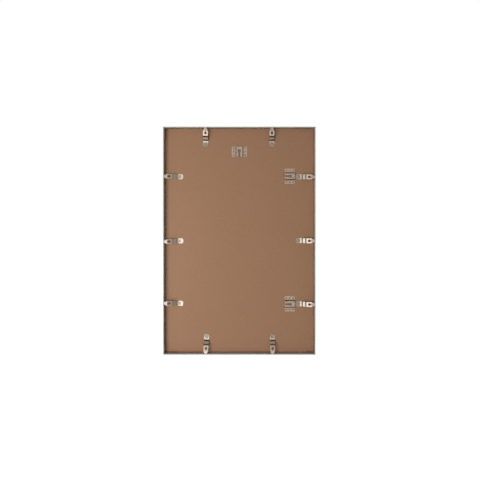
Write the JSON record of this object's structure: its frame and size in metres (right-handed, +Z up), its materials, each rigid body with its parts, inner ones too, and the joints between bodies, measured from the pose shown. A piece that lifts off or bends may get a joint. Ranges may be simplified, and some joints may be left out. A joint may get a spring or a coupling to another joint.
{
  "type": "picture frame",
  "caption": "Thin mitred metal picture frame with glass, a brown hardboard back held by sprung clips, and slotted hangers for upright or lengthwise use.",
  "frame": {"origin": "where a nail's upper side meets the top hanger's slot end, on the wall plane", "axes": "+Z up, +Y backwards to the wall, +X to the right as seen from the front; left and right in names are as seen from the back"},
  "size_m": [0.404, 0.02, 0.604],
  "materials": {
    "profile_aluminium": "fine satin, silver anodised",
    "key_zinc": "die-cast zinc, dull",
    "pane_glass": "clear float glass",
    "insert_paper": "plain matt paper",
    "board_hardboard": "smooth brown hardboard, matt",
    "clip_steel": "spring steel, bright zinc plated",
    "hanger_steel": "stamped sheet steel, zinc plated"
  },
  "bodies": {
    "frame": {"profile_top": "profile_aluminium", "profile_bottom": "profile_aluminium", "profile_left": "profile_aluminium", "profile_right": "profile_aluminium", "corner_key_top_left": "key_zinc", "corner_key_top_right": "key_zinc", "corner_key_bottom_left": "key_zinc", "corner_key_bottom_right": "key_zinc", "front_glass": "pane_glass", "insert_sheet": "insert_paper", "back_board": "board_hardboard", "hanger_top": "hanger_steel", "hanger_right_upper": "hanger_steel", "hanger_right_lower": "hanger_steel"},
    "clip_top_left": {"clip_top_left": "clip_steel"},
    "clip_top_right": {"clip_top_right": "clip_steel"},
    "clip_bottom_left": {"clip_bottom_left": "clip_steel"},
    "clip_bottom_right": {"clip_bottom_right": "clip_steel"},
    "clip_left_upper": {"clip_left_upper": "clip_steel"},
    "clip_left_middle": {"clip_left_middle": "clip_steel"},
    "clip_left_lower": {"clip_left_lower": "clip_steel"},
    "clip_right_upper": {"clip_right_upper": "clip_steel"},
    "clip_right_middle": {"clip_right_middle": "clip_steel"},
    "clip_right_lower": {"clip_right_lower": "clip_steel"}
  },
  "joints": [
    {"name": "slide_top_left", "type": "slide", "parent": "frame", "child": "clip_top_left", "axis": [0.0262, 0, -0.9997], "range_m": [0, 0.0015]},
    {"name": "slide_top_right", "type": "slide", "parent": "frame", "child": "clip_top_right", "axis": [-0.0175, 0, -0.9998], "range_m": [0, 0.0015]},
    {"name": "slide_bottom_left", "type": "slide", "parent": "frame", "child": "clip_bottom_left", "axis": [-0.0279, 0, 0.9996], "range_m": [0, 0.0015]},
    {"name": "slide_bottom_right", "type": "slide", "parent": "frame", "child": "clip_bottom_right", "axis": [0.0035, 0, 1], "range_m": [0, 0.0015]},
    {"name": "slide_left_upper", "type": "slide", "parent": "frame", "child": "clip_left_upper", "axis": [-0.9999, 0, -0.0122], "range_m": [0, 0.0015]},
    {"name": "slide_left_middle", "type": "slide", "parent": "frame", "child": "clip_left_middle", "axis": [-0.9996, 0, 0.0279], "range_m": [0, 0.0015]},
    {"name": "slide_left_lower", "type": "slide", "parent": "frame", "child": "clip_left_lower", "axis": [-0.9971, 0, -0.0767], "range_m": [0, 0.0015]},
    {"name": "slide_right_upper", "type": "slide", "parent": "frame", "child": "clip_right_upper", "axis": [0.999, 0, 0.0454], "range_m": [0, 0.0015]},
    {"name": "slide_right_middle", "type": "slide", "parent": "frame", "child": "clip_right_middle", "axis": [1, 0, -0.0087], "range_m": [0, 0.0015]},
    {"name": "slide_right_lower", "type": "slide", "parent": "frame", "child": "clip_right_lower", "axis": [0.9996, 0, -0.0297], "range_m": [0, 0.0015]}
  ]
}
